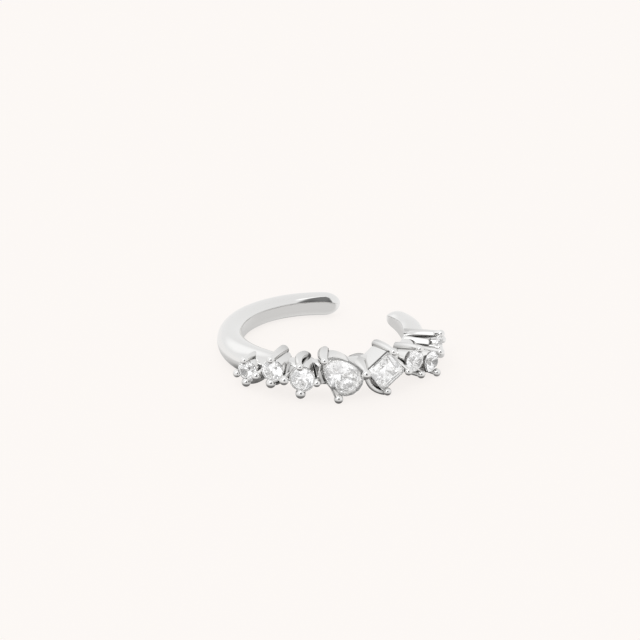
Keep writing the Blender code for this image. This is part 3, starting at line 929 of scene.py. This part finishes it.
class MakeSettings(bpy.types.Operator):
    """Model the tapered walls under the stones"""

    bl_idname = "ear_cuff.make_settings"
    bl_label = "Settings"

    def execute(self, context):
        shell = Shell(context.scene.cuff_band.bore_radius + BACK_INSET)
        for count, place in enumerate(places(context.scene)):
            windows = [window for stone, *window in WINDOWS if stone == count]
            shell.add(*wall_surface(place, context.scene.cuff_settings, windows), wrap_rows=True)
        silver = silver_material("setting silver", context.scene.cuff_finish)
        put("settings", shell.mesh("settings"), silver, "silver_cuff")
        return {"FINISHED"}


class MakeClaws(bpy.types.Operator):
    """Model the claws with their round beads, and the thin rails"""

    bl_idname = "ear_cuff.make_claws"
    bl_label = "Claws"

    def execute(self, context):
        shell = Shell(context.scene.cuff_band.bore_radius + BACK_INSET)
        row = places(context.scene)
        for stone, *claw in CLAWS:
            shell.add(*claw_surface(row[stone], context.scene.cuff_claws, *claw))
        for stone, *rail in RAILS:
            # Rails with a high mark are dark lines of painted shade, put where shadow gaps lie
            # between parts
            shell.add(*rail_surface(row[stone], *rail))
        silver = silver_material("claw silver", context.scene.cuff_finish)
        put("claws", shell.mesh("claws"), silver, "silver_cuff")
        return {"FINISHED"}


class MakeStones(bpy.types.Operator):
    """Cut the eight stones"""

    bl_idname = "ear_cuff.make_stones"
    bl_label = "Stones"

    def execute(self, context):
        clear = stone_material("clear stone", context.scene.cuff_finish)
        for place in places(context.scene):
            mesh = stone_mesh(place, context.scene.cuff_stones)
            put(place.node + "_cut", mesh, clear, place.node)
        return {"FINISHED"}


def softbox(name, middle, side, strength):
    """A square light that looks at the origin. Its power is brightness times area times pi."""
    light = bpy.data.lights.new(name, "AREA")
    light.shape = "SQUARE"
    light.size = side
    light.energy = strength * math.pi * side**2
    made = bpy.data.objects.new(name, light)
    bpy.context.scene.collection.objects.link(made)
    made.location = middle
    made.rotation_euler = (-middle).to_track_quat("-Z", "Y").to_euler()


def floor_material(studio):
    """A light table: a pale sheet lit evenly from below, so that shadows on it stay faint. What
    metal and stones reflect of it is dimmer and neutral, most of all in the ring and straight
    down: a painted shadow of the ring and the row, seen only in reflections."""
    material, tree, shader = new_material("light table")
    seen = add_node(tree, "ShaderNodeLightPath", {}).outputs["Is Camera Ray"]
    slant = add_node(tree, "ShaderNodeLayerWeight", {}).outputs["Facing"]
    here = add_node(tree, "ShaderNodeTexCoord", {}).outputs["Object"]
    sockets = {0: here, 1: SHADE_MIDDLE}
    apart = add_node(tree, "ShaderNodeVectorMath", sockets, operation="DISTANCE").outputs["Value"]
    under = carried(tree, apart, UNDER_SHADE, (studio.underside, STEEP_OUTSIDE))
    steep = carried(tree, slant, STEEP, (under, 1.0))
    near = carried(tree, apart, SHADE, (studio.mirrored, studio.around))
    reflected_shade = computed(tree, "MULTIPLY", near, steep)
    sockets = {
        "Base Color": (*(c * studio.shadow for c in studio.floor), 1.0),
        "Roughness": 0.8,
        "Specular IOR Level": 0.0,
        "Emission Color": mixed(tree, seen, (*studio.reflected, 1.0), (*studio.floor, 1.0)),
        "Emission Strength": mixed(tree, seen, reflected_shade, studio.lit, data_type="FLOAT"),
    }
    feed(tree, shader, sockets)
    return material


def heading(azimuth, elevation):
    """The direction with this heading and this angle over the floor, in degrees."""
    a, e = math.radians(azimuth), math.radians(elevation)
    return Vector((math.cos(e) * math.cos(a), math.cos(e) * math.sin(a), math.sin(e)))


def room_light(studio):
    """A white light tent. Each patch of it is a soft round area about a direction, brighter or
    darker than the rest: the tent's dark mouth, and the lamps that shine through its cloth."""
    world = bpy.data.worlds.new("room")
    world.use_nodes = True
    tree = world.node_tree
    way = add_node(tree, "ShaderNodeTexCoord", {}).outputs["Generated"]
    height = add_node(tree, "ShaderNodeSeparateXYZ", {"Vector": way}).outputs["Z"]
    light = carried(tree, height, (0.0, 1.0), (studio.low, studio.high))
    for azimuth, elevation, full, rim, brightness in TENT_PATCHES:
        sockets = {0: way, 1: heading(azimuth, elevation)}
        node = add_node(tree, "ShaderNodeVectorMath", sockets, operation="DOT_PRODUCT")
        near = node.outputs["Value"]
        reach = (math.cos(math.radians(rim)), math.cos(math.radians(full)))
        soft = carried(tree, near, reach, (0.0, 1.0), interpolation_type="SMOOTHSTEP")
        light = mixed(tree, soft, light, brightness, data_type="FLOAT")
    feed(tree, tree.nodes["Background"], {"Color": light})
    bpy.context.scene.world = world


class MakeStudio(bpy.types.Operator):
    """Set the floor, the light and the camera"""

    bl_idname = "ear_cuff.make_studio"
    bl_label = "Studio"

    def execute(self, context):
        studio = context.scene.cuff_studio
        mesh = bpy.data.meshes.new("floor")
        half = FLOOR_HALF
        corners = [(-half, -half, 0.0), (half, -half, 0.0), (half, half, 0.0), (-half, half, 0.0)]
        mesh.from_pydata(corners, [], [(0, 1, 2, 3)])
        mesh.materials.append(floor_material(studio))
        floor = bpy.data.objects.new("floor", mesh)
        context.scene.collection.objects.link(floor)
        room_light(studio)
        softbox("key", heading(*KEY_HEADING) * KEY_DISTANCE, KEY_SIDE, KEY_STRENGTH)
        self.aim(context, studio)
        context.scene.view_settings.view_transform = "Standard"
        cycles = context.scene.cycles
        cycles.max_bounces = 32
        cycles.glossy_bounces = 24
        cycles.transmission_bounces = 32
        return {"FINISHED"}

    def aim(self, context, studio):
        """The camera looks at a point just over the ring's centre, from far off."""
        back = heading(studio.azimuth, studio.elevation)
        right = Vector((0, 0, 1)).cross(back).normalized()
        up = back.cross(right)
        turned = Matrix.Rotation(math.radians(studio.roll), 3, back)
        right, up = turned @ right, turned @ up
        target = Vector(RING_CENTRE) - right * TARGET_LEFT + up * TARGET_UP
        data = bpy.data.cameras.new("camera")
        data.lens = studio.focal
        data.sensor_width = SENSOR_WIDTH
        camera = bpy.data.objects.new("camera", data)
        far = studio.field * studio.focal / SENSOR_WIDTH
        turn = Matrix((right, up, back)).transposed().to_4x4()
        camera.matrix_world = Matrix.Translation(target + back * far) @ turn
        context.scene.collection.objects.link(camera)
        context.scene.camera = camera


class CuffPanel(bpy.types.Panel):
    """Lists the steps that model the cuff"""

    bl_idname = "VIEW3D_PT_ear_cuff"
    bl_label = "Ear Cuff"
    bl_space_type = "VIEW_3D"
    bl_region_type = "UI"
    bl_category = "Ear Cuff"

    def draw(self, context):
        for step in STEPS:
            self.layout.operator(step.bl_idname)


STEPS = (MakeBand, MakeSettings, MakeClaws, MakeStones, MakeStudio)
GROUPS = {
    "cuff_band": CuffBand,
    "cuff_settings": CuffSettings,
    "cuff_claws": CuffClaws,
    "cuff_stones": CuffStones,
    "cuff_finish": CuffFinish,
    "cuff_studio": CuffStudio,
}


def register():
    for name, group in GROUPS.items():
        bpy.utils.register_class(group)
        setattr(bpy.types.Scene, name, PointerProperty(type=group))
    for made in (*STEPS, CuffPanel):
        bpy.utils.register_class(made)


def unregister():
    for made in (CuffPanel, *reversed(STEPS)):
        bpy.utils.unregister_class(made)
    for name, group in GROUPS.items():
        delattr(bpy.types.Scene, name)
        bpy.utils.unregister_class(group)


def main():
    register()
    bpy.ops.ear_cuff.make_band()
    bpy.ops.ear_cuff.make_settings()
    bpy.ops.ear_cuff.make_claws()
    bpy.ops.ear_cuff.make_stones()
    bpy.ops.ear_cuff.make_studio()


if __name__ == "__main__":
    main()
